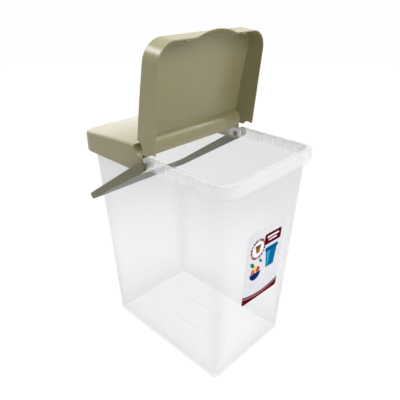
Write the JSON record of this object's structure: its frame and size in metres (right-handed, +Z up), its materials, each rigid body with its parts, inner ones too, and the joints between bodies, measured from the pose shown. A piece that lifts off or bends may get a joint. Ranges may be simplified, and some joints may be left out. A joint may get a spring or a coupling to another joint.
{
  "type": "rice bin with flip lid",
  "caption": "Tall tapered translucent bin with a fixed rear cover, a front lid that flips open on it, a swinging bail handle and a front label.",
  "frame": {"origin": "centre of the flat base, on the table", "axes": "+Z up along the bin's height, -Y towards the front with the label and the flip lid, X across the bin along the lid's hinge"},
  "size_m": [0.1924, 0.2645, 0.4384],
  "materials": {
    "translucent_plastic": "frosted translucent natural polypropylene, smooth",
    "olive_plastic": "opaque olive beige polypropylene with a fine grain, satin",
    "handle_plastic": "opaque olive beige polypropylene, satin",
    "label_print": "coated paper sticker, pale with a dark red band and a plain printed pattern"
  },
  "bodies": {
    "bin": {"bin": "translucent_plastic", "rear_cover": "olive_plastic", "label": "label_print"},
    "lid": {"flip_lid": "olive_plastic"},
    "handle": {"handle": "handle_plastic"}
  },
  "joints": [
    {"name": "lid_hinge", "type": "hinge", "parent": "bin", "child": "lid", "pos_m": [0, 0.001, 0.301], "axis": [-1, 0, 0], "range_deg": [-83.9, 30]},
    {"name": "handle_pivot", "type": "hinge", "parent": "bin", "child": "handle", "pos_m": [0, -0.0015, 0.2895], "axis": [1, 0, 0], "range_deg": [0, 98]}
  ]
}
